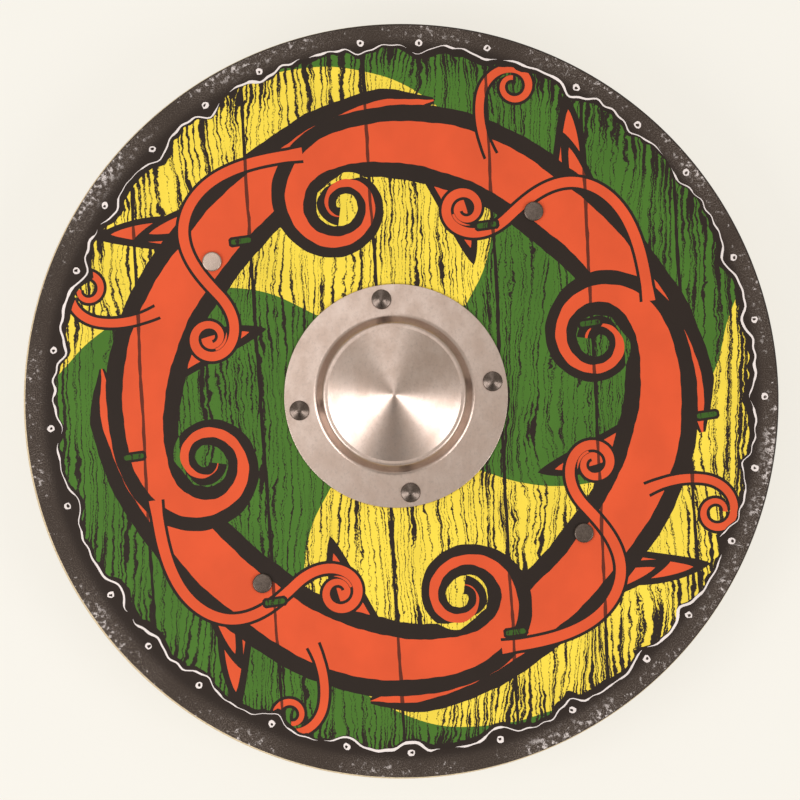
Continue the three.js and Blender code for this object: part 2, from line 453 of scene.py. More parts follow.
def rim_shapes(random, inner, outer):
    """The dark rim, its white line and its tacks. inner is the contour's usual radius."""
    spacing = 2 * math.pi / TACKS
    tacks = [spacing * (k + random.uniform(-0.22, 0.22)) for k in range(TACKS)]
    depths = [random.uniform(3.0, 5.4) for _ in tacks]
    spreads = [random.uniform(0.034, 0.048) for _ in tacks]
    angles = np.linspace(0, 2 * math.pi, 720, endpoint=False)
    wave = np.zeros(len(angles))
    for k in range(2, 40):
        wave += random.normal(0, 1.1) / k**0.75 * np.cos(k * angles + random.uniform(0, 2 * math.pi))
    wave = 0.55 * wave
    for k in range(90, 140, 3):
        wave += random.normal(0, 0.09) * np.cos(k * angles + random.uniform(0, 2 * math.pi))
    for place, depth, spread in zip(tacks, depths, spreads):
        away = (angles - place + math.pi) % (2 * math.pi) - math.pi
        wave -= depth * np.exp(-((away / spread) ** 2))
    contour = inner + wave
    ring = lambda radius: np.stack([radius * np.cos(angles), radius * np.sin(angles)], axis=1)
    shade = 2.0 + 1.2 * np.sin(5 * angles + 1) + 0.8 * np.sin(13 * angles + 2)
    shade += np.repeat(random.uniform(-0.7, 0.9, len(angles) // 3), 3)
    shapes = [
        ((ring(contour - np.clip(shade, 0.6, None)), ring(np.full(len(angles), outer + 5))), "black"),
        ((ring(contour), ring(np.full(len(angles), outer + 5))), "rim"),
    ]
    line = ring(contour + 0.3)
    half = 0.30 + 0.16 * np.sin(7 * angles) + 0.34 * np.repeat(random.random(len(angles) // 3) ** 2, 3)
    start = 0
    while start < len(angles) - 10:
        length = int(random.integers(26, 90))
        part = slice(start, min(start + length, len(angles)))
        taper = np.clip(np.minimum(np.arange(len(line[part])), np.arange(len(line[part]))[::-1]) / 3, 0.1, 1)
        shapes.append((ribbon(line[part], half[part] * taper), "white"))
        start += length + int(random.integers(1, 5))
    for place, depth in zip(tacks, depths):
        at = polar(inner - depth + 6.0 + random.uniform(-0.6, 0.6), place)
        outer_ring = disc(at, 1.0, 9) - at
        outer_ring *= (TACK_SIZE * random.uniform(0.78, 1.12, 9))[:, None]
        shapes.append((turned_by(outer_ring, place) + at, "white"))
        core = disc((0, 0), 1.0, 7) * (TACK_SIZE * random.uniform(0.25, 0.62, 7))[:, None]
        shapes.append((core + at + random.uniform(-0.35, 0.35, 2), "rim"))
    return [((loops[0] + CONTOUR_SHIFT, *loops[1:]), ink) for loops, ink in
            ((loops_of(outline), ink) for outline, ink in shapes)]


def staple_shapes(place):
    shapes = []
    for grow, ink in ((STAPLE_OUTLINE, "black"), (0.0, "green_plain")):
        half = np.array([STAPLE_SIZE[0] / 2 + grow, STAPLE_SIZE[1] / 2 + grow])
        corners = np.array([(-1, -0.6), (-0.8, -1), (0.8, -1), (1, -0.5), (1, 0.5), (0.8, 1), (-0.8, 1), (-1, 0.6)])
        shapes.append((turned_by(corners * half, STAPLE_TILT) + place, ink))
    return shapes


def face_shapes(radius, rim_width):
    """Everything printed on the face, in painting order, as (outline, ink)."""
    random = np.random.default_rng(11)
    upper_left = np.vstack([smooth(UPPER_EDGE)[::-1], arc(186, 118, 179), smooth(LEFT_EDGE)[::-1]])
    lower_right = np.vstack([smooth(LOWER_EDGE), arc(186, -60, 21), smooth(RIGHT_EDGE)[::-1]])
    shapes = [(upper_left, "yellow"), (lower_right, "yellow")]
    shapes += ornament()
    shapes += [(seam_line(x, lean, random), "seam") for x, lean in SEAMS]
    for place in STAPLES:
        shapes += staple_shapes(np.array(place))
    shapes += rim_shapes(random, radius - rim_width, radius)
    return shapes


def inside(points, outline):
    """Which points lie inside an outline."""
    found = np.zeros(len(points), bool)
    low, high = outline.min(0), outline.max(0)
    near = np.flatnonzero(np.all((points >= low) & (points <= high), axis=1))
    if len(near) == 0:
        return found
    x, y = points[near, 0][:, None], points[near, 1][:, None]
    x1, y1 = outline[:, 0], outline[:, 1]
    x2, y2 = np.roll(x1, -1), np.roll(y1, -1)
    rise = np.where(y2 == y1, 1e-12, y2 - y1)
    crossed = ((y1 > y) != (y2 > y)) & (x < (x2 - x1) * (y - y1) / rise + x1)
    found[near] = crossed.sum(axis=1) % 2 == 1
    return found


def partition(shapes, edge, holes):
    """Cuts the face along every outline. Gives its points, its triangles and each one's ink."""
    points, links = [], []
    for loop in [loop for outline, _ in shapes for loop in loops_of(outline)] + [edge] + holes:
        start, count = len(points), len(loop)
        points += [Vector(p) for p in loop]
        links += [(start + i, start + (i + 1) % count) for i in range(count)]
    found = delaunay_2d_cdt(points, links, [], 0, 1e-3)
    places = np.array([tuple(v) for v in found[0]])
    corners = np.array([tuple(f) for f in found[2]])
    middles = places[corners].mean(axis=1)
    keep = inside(middles, edge)
    for hole in holes:
        keep &= ~inside(middles, hole)
    corners, middles = corners[keep], middles[keep]
    inks = np.full(len(corners), "green", dtype="U12")
    for outline, ink in shapes:
        within = np.zeros(len(middles), bool)
        for loop in loops_of(outline):
            within ^= inside(middles, loop)
        if ink == "seam":
            inks[within & (inks == "orange")] = "brown"
            inks[within & ((inks == "green") | (inks == "yellow"))] = "black"
        else:
            inks[within] = ink
    return places, corners, inks


def edge_loops(corners):
    """The closed loops of points that bound a set of triangles, the longest one first."""
    sides = {(t[i], t[(i + 1) % 3]) for t in corners.tolist() for i in range(3)}
    after = {a: b for a, b in sides if (b, a) not in sides}
    loops = []
    while after:
        loop = [min(after)]
        while (follow := after.pop(loop[-1])) != loop[0]:
            loop.append(follow)
        loops.append(loop)
    return sorted(loops, key=len, reverse=True)


# Materials of the board


def seam_nearness(g, x, y):
    """1 on a board joint, falling to 0 a few millimetres beside it."""
    nearest = None
    for middle, lean in SEAMS:
        offset = g.math("SUBTRACT", x, g.math("MULTIPLY_ADD", y, lean, middle))
        distance = g.math("ABSOLUTE", offset)
        nearest = distance if nearest is None else g.math("MINIMUM", nearest, distance)
    return g.ramp(nearest, 0.0, 9.0, 1.0, 0.0)


KNOTS = [(66, 84, 9, 15, 7), (-150, 30, 8, 20, 6), (96, -118, 9, 24, -6), (-30, 96, 12, 30, 5)]


def grain(g, place, plainness):
    """Cut lines of a woodcut that run up the face, 1 where black ink lies."""
    split = g.add("ShaderNodeSeparateXYZ", place)
    x, y = split.outputs[0], split.outputs[1]
    bend = g.math("MULTIPLY", g.math("SUBTRACT", g.noise(g.scaled(place, (1 / 42, 1 / 85, 0))), 0.5), 22.0)
    for knot_x, knot_y, wide, high, push in KNOTS:
        across = g.math("MULTIPLY", g.math("SUBTRACT", x, knot_x), 1 / wide)
        up = g.math("MULTIPLY", g.math("SUBTRACT", y, knot_y), 1 / high)
        reach = g.math("ADD", g.math("MULTIPLY", across, across), g.math("MULTIPLY", up, up))
        pull = g.math("MULTIPLY", g.math("EXPONENT", g.math("MULTIPLY", reach, -1.0)), across)
        bend = g.math("MULTIPLY_ADD", pull, -push, bend)
    shake = g.math("SUBTRACT", g.noise(g.scaled(place, (1 / 5.0, 1 / 6.5, 0)), 3.0, 0.6), 0.5)
    bent = g.math("ADD", g.math("ADD", x, bend), g.math("MULTIPLY", shake, 4.2))
    rough = g.math("SUBTRACT", g.noise(g.scaled(place, (1 / 0.55, 1 / 0.9, 0)), 2.0, 0.6), 0.5)
    reach = g.add("ShaderNodeVectorMath", g.scaled(place, (1, 1, 0)), operation="LENGTH").outputs["Value"]
    at_rim = g.ramp(reach, 160.0, 177.0)
    at_seam = seam_nearness(g, x, y)
    area = g.ramp(g.noise(g.scaled(place, (1 / 38, 1 / 60, 0))), plainness, plainness + 0.22)
    crowd = g.math("MAXIMUM", area, g.math("MAXIMUM", g.math("MULTIPLY", at_seam, 0.8), at_rim))
    ink = None
    for spacing, seed, base in ((5.6, 0.0, 0.40), (8.3, 37.0, 0.34), (3.3, 71.0, 0.20), (13.0, 93.0, 0.62)):
        step = g.math("MULTIPLY_ADD", bent, 1 / spacing, seed)
        cell = g.math("FLOOR", step)
        chance = g.add("ShaderNodeTexWhiteNoise", noise_dimensions="1D")
        g.feed(chance.inputs["W"], cell)
        aside = g.math("MULTIPLY_ADD", chance.outputs["Value"], 0.5, 0.25)
        distance = g.math("MULTIPLY", g.math("ABSOLUTE", g.math("SUBTRACT", g.math("FRACT", step), aside)), spacing)
        run = g.noise(g.combine(g.math("MULTIPLY", cell, 5.31), g.math("MULTIPLY", y, 1 / 24), seed), 3.0, 0.6)
        width = g.math("MULTIPLY", g.ramp(run, 0.34, 0.74, 0.0, 1.9), base)
        width = g.math("MULTIPLY", width, g.math("MULTIPLY_ADD", crowd, 0.95, 0.36))
        width = g.math("MULTIPLY_ADD", at_rim, 0.30, width)
        worn = g.math("MULTIPLY_ADD", rough, 1.1, distance)
        line = g.ramp(g.math("SUBTRACT", worn, width), -0.12, 0.12, 1.0, 0.0)
        specks = g.math("MULTIPLY", g.ramp(rough, 0.10, 0.17), g.ramp(distance, 0.7, 1.9, 1.0, 0.0))
        specks = g.math("MULTIPLY", specks, g.ramp(g.math("MULTIPLY", run, crowd), 0.42, 0.6))
        line = g.math("MAXIMUM", line, specks)
        ink = line if ink is None else g.math("MAXIMUM", ink, line)
    return ink


def fine_pores(g, place):
    return g.noise(g.scaled(place, (1 / 0.35, 1 / 2.4, 1 / 0.35)), 3.0, 0.6)


def printed(name, colour, key, grained=False, plainness=0.5):
    """Ink on varnished plywood, with the black grain printed over it if it is ground."""
    material, g, surface, place = new_material(name)
    cloud = g.noise(g.scaled(place, (1 / 30, 1 / 40, 0)), 3.0)
    pores = fine_pores(g, place)
    darker = tuple(part * 0.88 for part in colour)
    tone = g.mix(g.ramp(cloud, 0.3, 0.7), opaque(colour), opaque(darker))
    speck = g.ramp(g.noise(g.scaled(place, (1 / 0.5, 1 / 0.7, 0)), 2.0), 0.66, 0.74, 0.0, 0.22)
    tone = g.mix(speck, tone, opaque(tuple(part * 0.6 for part in colour)))
    if grained:
        tone = g.mix(grain(g, place, plainness), tone, opaque(key))
    g.feed(surface.inputs["Base Color"], tone)
    g.feed(surface.inputs["Roughness"], g.ramp(pores, 0.2, 0.8, 0.42, 0.56))
    surface.inputs["Specular IOR Level"].default_value = 0.22
    bump(g, surface, pores, 0.12, 0.05)
    return material


def rim_ink(name, key, white, print_centre):
    """Black of the rim, rubbed with white towards its outer edge."""
    material, g, surface, place = new_material(name)
    own = g.vector("SUBTRACT", g.scaled(place, (1, 1, 0)), (*print_centre, 0.0))
    split = g.add("ShaderNodeSeparateXYZ", own)
    angle = g.math("ARCTAN2", split.outputs[1], split.outputs[0])
    radius = g.add("ShaderNodeVectorMath", own, operation="LENGTH").outputs["Value"]
    round_it = g.combine(g.math("MULTIPLY", g.math("COSINE", angle), 3.0), g.math("MULTIPLY", g.math("SINE", angle), 3.0))
    patches = g.noise(round_it, 2.0)
    spokes = g.combine(g.math("MULTIPLY", angle, 70.0), g.math("MULTIPLY", radius, 1 / 3.2), 4.0)
    strokes = g.noise(spokes, 4.0, 0.62)
    fine = g.noise(g.scaled(own, (1 / 0.55, 1 / 0.55, 0)), 3.0, 0.7)
    outer = g.ramp(radius, 180.0, 188.0)
    rub = g.math("MULTIPLY", g.ramp(g.math("MULTIPLY_ADD", patches, 0.55, strokes), 0.84, 0.98), outer)
    rub = g.math("MULTIPLY", rub, g.ramp(fine, 0.36, 0.56, 0.1, 1.0))
    dust = g.math("MULTIPLY", g.ramp(fine, 0.50, 0.60), g.ramp(radius, 176.0, 187.0, 0.0, 0.75))
    dust = g.math("MULTIPLY", dust, g.ramp(patches, 0.35, 0.6, 0.25, 0.9))
    brown = g.mix(g.ramp(radius, 178.0, 183.0), opaque(key), opaque(linear(56, 45, 38)))
    tone = g.mix(dust, brown, opaque(linear(140, 128, 120)))
    tone = g.mix(g.math("MULTIPLY", rub, 0.9), tone, opaque(white))
    g.feed(surface.inputs["Base Color"], tone)
    g.feed(surface.inputs["Roughness"], g.ramp(fine, 0.2, 0.8, 0.42, 0.58))
    surface.inputs["Specular IOR Level"].default_value = 0.22
    bump(g, surface, fine_pores(g, place), 0.12, 0.05)
    return material


def ply_edge(name, settings, print_settings):
    """Cut edge: plies in two tones, and black ink where the print ran over the arris."""
    material, g, surface, place = new_material(name)
    z = g.add("ShaderNodeSeparateXYZ", place).outputs[2]
    layer = g.math("MULTIPLY", g.math("SUBTRACT", z, BACK_Z), settings.plies / (FACE_Z - BACK_Z))
    odd = g.math("GREATER_THAN", g.math("MODULO", layer, 2.0), 1.0)
    fibres = g.noise(g.scaled(place, (1 / 1.2, 1 / 1.2, 1 / 0.25)), 4.0, 0.65)
    tone = g.mix(odd, opaque(settings.ply_light), opaque(settings.ply_dark))
    tone = g.mix(g.ramp(fibres, 0.35, 0.75, 0.0, 0.45), tone, opaque(tuple(p * 0.45 for p in settings.ply_dark)))
    off = g.vector("SUBTRACT", g.scaled(place, (1, 1, 0)), (*[c / MM for c in print_settings.centre], 0.0))
    radius = g.add("ShaderNodeVectorMath", off, operation="LENGTH").outputs["Value"]
    inked = g.math("LESS_THAN", radius, print_settings.radius / MM)
    face = g.math("GREATER_THAN", z, FACE_Z - BOARD_ARRIS)
    tone = g.mix(g.math("MULTIPLY", inked, face), tone, opaque(print_settings.black))
    g.feed(surface.inputs["Base Color"], tone)
    g.feed(surface.inputs["Roughness"], g.ramp(fibres, 0.2, 0.8, 0.6, 0.85))
    bump(g, surface, fibres, 0.35, 0.1)
    return material


def ply_back(name, settings):
    """Bare back: birch veneer with long soft grain."""
    material, g, surface, place = new_material(name)
    warp = g.noise(g.scaled(place, (1 / 60, 1 / 140, 0)), 2.0)
    bent = g.vector("ADD", place, g.combine(g.math("MULTIPLY", warp, 38.0)))
    split = g.add("ShaderNodeSeparateXYZ", bent)
    rings = g.math("FRACT", g.math("MULTIPLY", split.outputs[0], 1 / 7.5))
    rings = g.ramp(g.math("ABSOLUTE", g.math("SUBTRACT", rings, 0.5)), 0.0, 0.5)
    fibres = g.noise(g.scaled(bent, (1 / 0.5, 1 / 16, 1)), 4.0, 0.6)
    tone = g.mix(g.math("MULTIPLY", rings, 0.4), opaque(settings.ply_light), opaque(settings.ply_dark))
    tone = g.mix(g.ramp(fibres, 0.4, 0.8, 0.0, 0.5), tone, opaque(settings.ply_dark))
    g.feed(surface.inputs["Base Color"], tone)
    g.feed(surface.inputs["Roughness"], g.ramp(fibres, 0.2, 0.8, 0.55, 0.75))
    bump(g, surface, fibres, 0.25, 0.1)
    return material


# Meshes


def link(mesh, name):
    piece = bpy.data.objects.new(name, mesh)
    bpy.context.scene.collection.objects.link(piece)
    return piece


def finished(piece, nodes):
    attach(piece, BODY)
    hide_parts(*nodes)


def circle(radius, sides, place=(0.0, 0.0)):
    angles = np.linspace(0, 2 * np.pi, sides, endpoint=False)
    return np.stack([place[0] + radius * np.cos(angles), place[1] + radius * np.sin(angles)], axis=1)


def board_mesh(settings, print_settings):
    """The board as one closed mesh, with its face cut along the print's outlines."""
    shift = np.array([c / MM for c in print_settings.centre])
    shapes = []
    for outline, ink in face_shapes(print_settings.radius / MM, print_settings.rim_width / MM):
        loops = tuple(loop + shift for loop in loops_of(outline))
        shapes.append((loops, ink))
    printed_edge = circle(print_settings.radius / MM, settings.sides, shift)
    bare = (circle(BOARD_RADIUS + 5, 64), printed_edge)
    shapes.append((bare, "bare"))
    flat = BOARD_RADIUS - BOARD_ARRIS
    edge = circle(flat, settings.sides)
    holes = [circle(HOLE_RADIUS, 24, centre(n).xy / MM) for n in BOSS_RIVETS + STRAP_RIVETS]
    inks = ["green", "yellow", "orange", "black", "white", "brown", "rim", "green_plain", "bare", "edge", "back"]
    mesh = bmesh.new()

    def add_faces(places, corners, height, ink_of, flip):
        verts = [mesh.verts.new((x * MM, y * MM, height * MM)) for x, y in places]
        for index, triangle in enumerate(corners):
            order = triangle[::-1] if flip else triangle
            face = mesh.faces.new([verts[i] for i in order])
            face.material_index = inks.index(ink_of(index))

    places, corners, found = partition(shapes, edge, holes)
    add_faces(places, corners, FACE_Z, lambda i: found[i], False)
    edge, *holes = [places[loop] for loop in edge_loops(corners)]
    holes = [hole[::-1] for hole in holes]
    places, corners, _ = partition([], edge, holes)
    add_faces(places, corners, BACK_Z, lambda i: "back", True)

    def band(low_loop, low_z, high_loop, high_z, ink, inward=False):
        low = [mesh.verts.new((x * MM, y * MM, low_z * MM)) for x, y in low_loop]
        high = [mesh.verts.new((x * MM, y * MM, high_z * MM)) for x, y in high_loop]
        for i in range(len(low)):
            j = (i + 1) % len(low)
            quad = [low[i], low[j], high[j], high[i]]
            face = mesh.faces.new(quad[::-1] if inward else quad)
            face.material_index = inks.index(ink)

    rounding = [(BOARD_ARRIS * (1 - math.sin(a)), BOARD_ARRIS * (1 - math.cos(a)))
                for a in np.linspace(0, math.pi / 2, 4)]
    profile = [(flat + BOARD_ARRIS - inset, BACK_Z + rise) for inset, rise in rounding]
    profile += [(flat + BOARD_ARRIS - inset, FACE_Z - rise) for inset, rise in rounding[::-1]]
    outward = edge / np.linalg.norm(edge, axis=1)[:, None]
    rings = [edge if abs(r - flat) < 1e-6 else outward * r for r, _ in profile]
    for one, two, (_, z1), (_, z2) in zip(rings, rings[1:], profile, profile[1:]):
        band(one, z1, two, z2, "edge")
    for hole in holes:
        band(hole, BACK_Z, hole, FACE_Z, "edge", inward=True)
    bmesh.ops.delete(mesh, geom=[v for v in mesh.verts if not v.link_faces], context="VERTS")
    bmesh.ops.remove_doubles(mesh, verts=mesh.verts, dist=1e-7)
    for face in mesh.faces:
        face.smooth = inks[face.material_index] == "edge"
    data = bpy.data.meshes.new("board_printed")
    mesh.to_mesh(data)
    mesh.free()
    return data, inks


def board_materials(settings, print_settings):
    p = print_settings
    brown = tuple(o * 0.16 + k * 0.6 for o, k in zip(p.orange, p.black))
    shift = tuple(c / MM for c in p.centre)
    edge = ply_edge("ply_edge", settings, p)
    return {
        "green": printed("ink_green", p.green, p.black, grained=True, plainness=0.42),
        "yellow": printed("ink_yellow", p.yellow, p.black, grained=True, plainness=0.40),
        "orange": printed("ink_orange", p.orange, p.black),
        "black": printed("ink_black", p.black, p.black),
        "white": printed("ink_white", p.white, p.black),
        "brown": printed("ink_brown", brown, p.black),
        "rim": rim_ink("ink_rim", p.black, p.white, shift),
        "green_plain": printed("ink_staple", tuple(c * 0.62 for c in p.green), p.black, grained=True, plainness=0.5),
        "bare": edge,
        "edge": edge,
        "back": ply_back("ply_back", settings),
    }


# Turned pieces, by geometry nodes


def turned_tree(name, corner_names):
    """A tree that turns a profile of named corners round an axis and sets copies on a ring."""
    tree = bpy.data.node_groups.new(name, "GeometryNodeTree")
    face = tree.interface
    face.new_socket("Geometry", in_out="OUTPUT", socket_type="NodeSocketGeometry")
    face.new_socket("Geometry", in_out="INPUT", socket_type="NodeSocketGeometry")

    def size(label, kind, default):
        socket = face.new_socket(label, in_out="INPUT", socket_type=kind)
        socket.default_value = default

    for corner in corner_names:
        size(corner, "NodeSocketVector", (0.0, 0.0, 0.0))
        size(corner + " Rounding", "NodeSocketFloat", 0.0)
    size("Rounding Steps", "NodeSocketInt", 4)
    size("Sides", "NodeSocketInt", 48)
    size("Form Offset", "NodeSocketVector", (0.0, 0.0, 0.0))
    size("Offset Ends At", "NodeSocketFloat", 1.0)
    size("Offset Starts At", "NodeSocketFloat", 0.5)
    size("Ring Centre", "NodeSocketVector", (0.0, 0.0, 0.0))
    size("Ring Radius", "NodeSocketFloat", 0.0)
    size("Ring Turn", "NodeSocketFloat", 0.0)
    size("Ring Count", "NodeSocketInt", 3)
    face.new_socket("Material", in_out="INPUT", socket_type="NodeSocketMaterial")

    g = Graph(tree)
    given = g.add("NodeGroupInput").outputs
    index = g.add("GeometryNodeInputIndex").outputs[0]

    def by_index(kind, values):
        switch = g.add("GeometryNodeIndexSwitch", data_type=kind)
        while len(switch.index_switch_items) < len(values):
            switch.index_switch_items.new()
        g.feed(switch.inputs[0], index)
        for socket, value in zip(list(switch.inputs)[1:], values):
            g.feed(socket, value)
        return switch.outputs[0]

    line = g.add("GeometryNodeMeshLine", len(corner_names)).outputs[0]
    corners = g.add("GeometryNodeSetPosition", line, None, by_index("VECTOR", [given[c] for c in corner_names]))
    curve = g.add("GeometryNodeMeshToCurve", corners.outputs[0]).outputs[0]
    fillet = g.add("GeometryNodeFilletCurve", curve)
    if "Mode" in fillet.inputs:
        fillet.inputs["Mode"].default_value = "Poly"
    else:
        fillet.mode = "POLY"
    g.feed(fillet.inputs["Radius"], by_index("FLOAT", [given[c + " Rounding"] for c in corner_names]))
    g.feed(fillet.inputs["Count"], given["Rounding Steps"])
    g.feed(fillet.inputs["Limit Radius"], True)
    points = g.add("GeometryNodeCurveToPoints", fillet.outputs[0], mode="EVALUATED").outputs[0]
    count = g.add("GeometryNodeAttributeDomainSize", points, component="POINTCLOUD").outputs[0]
    around = g.math("ADD", given["Sides"], 1)
    sheet = g.add("GeometryNodeMeshGrid", 1.0, 1.0, around, count).outputs[0]
    here = g.add("ShaderNodeSeparateXYZ", g.add("GeometryNodeInputPosition").outputs[0])
    row = g.math("ROUND", g.math("MULTIPLY", g.math("ADD", here.outputs[1], 0.5), g.math("SUBTRACT", count, 1)))
    angle = g.math("MULTIPLY", g.math("ADD", here.outputs[0], 0.5), 2 * math.pi)
    sample = g.add("GeometryNodeSampleIndex", data_type="FLOAT_VECTOR", domain="POINT")
    g.feed(sample.inputs["Geometry"], points)
    g.feed(sample.inputs["Value"], g.add("GeometryNodeInputPosition").outputs[0])
    g.feed(sample.inputs["Index"], row)
    profile = g.add("ShaderNodeSeparateXYZ", sample.outputs[0])
    radius, height = profile.outputs[0], profile.outputs[2]
    out = g.combine(
        g.math("MULTIPLY", radius, g.math("COSINE", angle)),
        g.math("MULTIPLY", radius, g.math("SINE", angle)),
        height,
    )
    share = g.ramp(radius, given["Offset Starts At"], given["Offset Ends At"], 1.0, 0.0)
    moved = g.add("ShaderNodeVectorMath", given["Form Offset"], operation="SCALE")
    g.feed(moved.inputs["Scale"], share)
    shaped = g.add("GeometryNodeSetPosition", sheet, None, g.vector("ADD", out, moved.outputs[0])).outputs[0]
    merged = g.add("GeometryNodeMergeByDistance", shaped)
    g.feed(merged.inputs["Distance"], 1e-6)
    ring = g.add("GeometryNodeMeshCircle")
    g.feed(ring.inputs["Vertices"], given["Ring Count"])
    g.feed(ring.inputs["Radius"], given["Ring Radius"])
    turn = g.combine(0.0, 0.0, given["Ring Turn"])
    placed = g.add("GeometryNodeTransform", ring.outputs[0])
    g.feed(placed.inputs["Translation"], given["Ring Centre"])
    g.feed(placed.inputs["Rotation"], turn)
    copies = g.add("GeometryNodeInstanceOnPoints", placed.outputs[0])
    g.feed(copies.inputs["Instance"], merged.outputs[0])
    real = g.add("GeometryNodeRealizeInstances", copies.outputs[0])
    smooth_it = g.add("GeometryNodeSetShadeSmooth", real.outputs[0])
    painted = g.add("GeometryNodeSetMaterial", smooth_it.outputs[0])
    g.feed(painted.inputs["Material"], given["Material"])
    g.add("NodeGroupOutput", painted.outputs[0])
    return tree


def grown(name, tree, values):
    """The mesh that a tree makes from named values, as a piece of its own."""
    piece = link(bpy.data.meshes.new(name), name)
    modifier = piece.modifiers.new("Build", "NODES")
    modifier.node_group = tree
    sockets = {s.name: s.identifier for s in tree.interface.items_tree if s.in_out == "INPUT"}
    for label, value in values.items():
        modifier[sockets[label]] = value
    piece.update_tag()
    depsgraph = bpy.context.evaluated_depsgraph_get()
    mesh = bpy.data.meshes.new_from_object(piece.evaluated_get(depsgraph), depsgraph=depsgraph)
    piece.modifiers.remove(modifier)
    piece.data = mesh
    mesh.name = name
    work = bmesh.new()
    work.from_mesh(mesh)
    bmesh.ops.remove_doubles(work, verts=work.verts, dist=1e-6)
    bmesh.ops.recalc_face_normals(work, faces=work.faces)
    work.to_mesh(mesh)
    work.free()
    return piece


def profile_values(corners):
    """Named corner and rounding values from {name: (radius, height, rounding)} in millimetres."""
    values = {}
    for name, (radius, height, rounding) in corners.items():
        values[name] = (radius * MM, 0.0, height * MM)
        values[name + " Rounding"] = rounding * MM
    return values


def sharpen(piece, angle):
    """Smooth shading that breaks at edges steeper than angle."""
    piece.data.shade_smooth()
    piece.data.set_sharp_from_angle(angle=angle)


def boss_corners(settings):
    """The closed section of the pressed sheet, from the tip out over the top and back underneath."""
    top = centre("boss_rivet_1").z * 0 + BOSS_LOW.z / MM + settings.sheet / MM
    sheet = settings.sheet / MM
    foot = settings.wall_foot / MM
    shoulder = foot - settings.wall_spread / MM
    cone = shoulder - settings.ledge / MM
    ledge = top + settings.wall_height / MM
    tip = ledge + settings.cone_height / MM
    lean = math.atan2(settings.wall_height, settings.wall_spread)
    slope = math.atan2(settings.cone_height / MM, cone)
    inward = sheet * math.tan(lean / 2)
    dip = sheet * math.tan(slope / 2)
    return {
        "Tip": (0.0, tip - 0.15, 0.0),
        "Tip Side": (1.2, tip - 0.15 - 1.2 * math.tan(slope) * 0.55, 2.0),
        "Cone Foot": (cone, ledge, 0.35),
        "Ledge Edge": (shoulder, ledge, 1.9),
        "Wall Foot": (foot, top, 2.6),
        "Flange Edge": (FLANGE_RADIUS, top, 0.25),
        "Flange Edge Under": (FLANGE_RADIUS, top - sheet, 0.2),
        "Wall Foot Under": (foot - inward, top - sheet, 3.4),
        "Ledge Edge Under": (shoulder - inward, ledge - sheet, 1.0),
        "Cone Foot Under": (cone + dip, ledge - sheet, 1.0),
        "Tip Under": (0.0, tip - 0.15 - sheet / math.cos(slope), 0.0),
    }


def flange_steel(name, colour):
    """Rolled steel, mottled by handling."""
    material, g, surface, place = new_material(name)
    blotch = g.noise(g.scaled(place, (1 / 9, 1 / 12, 1 / 9)), 5.0, 0.65)
    mottle = g.noise(g.scaled(place, (1 / 1.2, 1 / 1.6, 1 / 1.2)), 4.0, 0.7)
    scuffs = g.noise(g.scaled(place, (1 / 0.5, 1 / 5.0, 1 / 0.5)), 2.0, 0.6)
    tone = g.mix(g.ramp(blotch, 0.3, 0.7), opaque(colour), opaque((colour[0] * 0.84, colour[1] * 0.8, colour[2] * 0.77)))
    tone = g.mix(g.ramp(mottle, 0.48, 0.72, 0.0, 0.36), tone, opaque(tuple(p * 0.55 for p in colour)))
    g.feed(surface.inputs["Base Color"], tone)
    g.feed(surface.inputs["Metallic"], 1.0)
    rough = g.math("MULTIPLY_ADD", g.math("SUBTRACT", blotch, 0.5), 0.16, 0.32)
    g.feed(surface.inputs["Roughness"], g.math("MULTIPLY_ADD", g.math("SUBTRACT", scuffs, 0.5), 0.10, rough))
    bump(g, surface, mottle, 0.10, 0.04)
    return material


def turned_steel(name, colour, axis):
    """Steel turned on the lathe: fine rings, faint spokes of light painted into its colour and a little glitter."""
    material, g, surface, place = new_material(name)
    own = g.scaled(g.vector("SUBTRACT", place, (*axis, 0.0)), (1, 1, 0))
    split = g.add("ShaderNodeSeparateXYZ", own)
    radius = g.add("ShaderNodeVectorMath", own, operation="LENGTH").outputs["Value"]
    unit = g.vector("NORMALIZE", own)
    rings = g.noise(g.vector("ADD", unit, g.combine(0.0, 0.0, g.math("MULTIPLY", radius, 7.0))), 3.0, 0.6)
    spokes = g.noise(g.vector("ADD", g.scaled(unit, (9, 9, 9)), g.combine(0.0, 0.0, g.math("MULTIPLY", radius, 0.03))), 4.0, 0.7)
    glitter = g.noise(g.scaled(place, (1 / 0.32, 1 / 0.32, 1 / 0.32)), 2.0, 0.7)
    # Painted light: the spokes darken the colour in wedges round the axis, standing in for the turned steel's
    # reflections; they also vary the roughness.
    tone = g.mix(g.ramp(spokes, 0.35, 0.65, 0.0, 0.35), opaque(colour), opaque(tuple(p * 0.74 for p in colour)))
    tone = g.mix(g.ramp(rings, 0.4, 0.7, 0.0, 0.14), tone, opaque(tuple(p * 0.6 for p in colour)))
    g.feed(surface.inputs["Base Color"], tone)
    g.feed(surface.inputs["Metallic"], 1.0)
    g.feed(surface.inputs["Roughness"], g.math("MULTIPLY_ADD", g.math("SUBTRACT", spokes, 0.5), 0.10, 0.29))
    surface.inputs["Anisotropic"].default_value = 0.85
    g.feed(surface.inputs["Tangent"], unit)
    bump(g, surface, g.math("MULTIPLY_ADD", rings, 0.4, glitter), 0.30, 0.04)
    return material


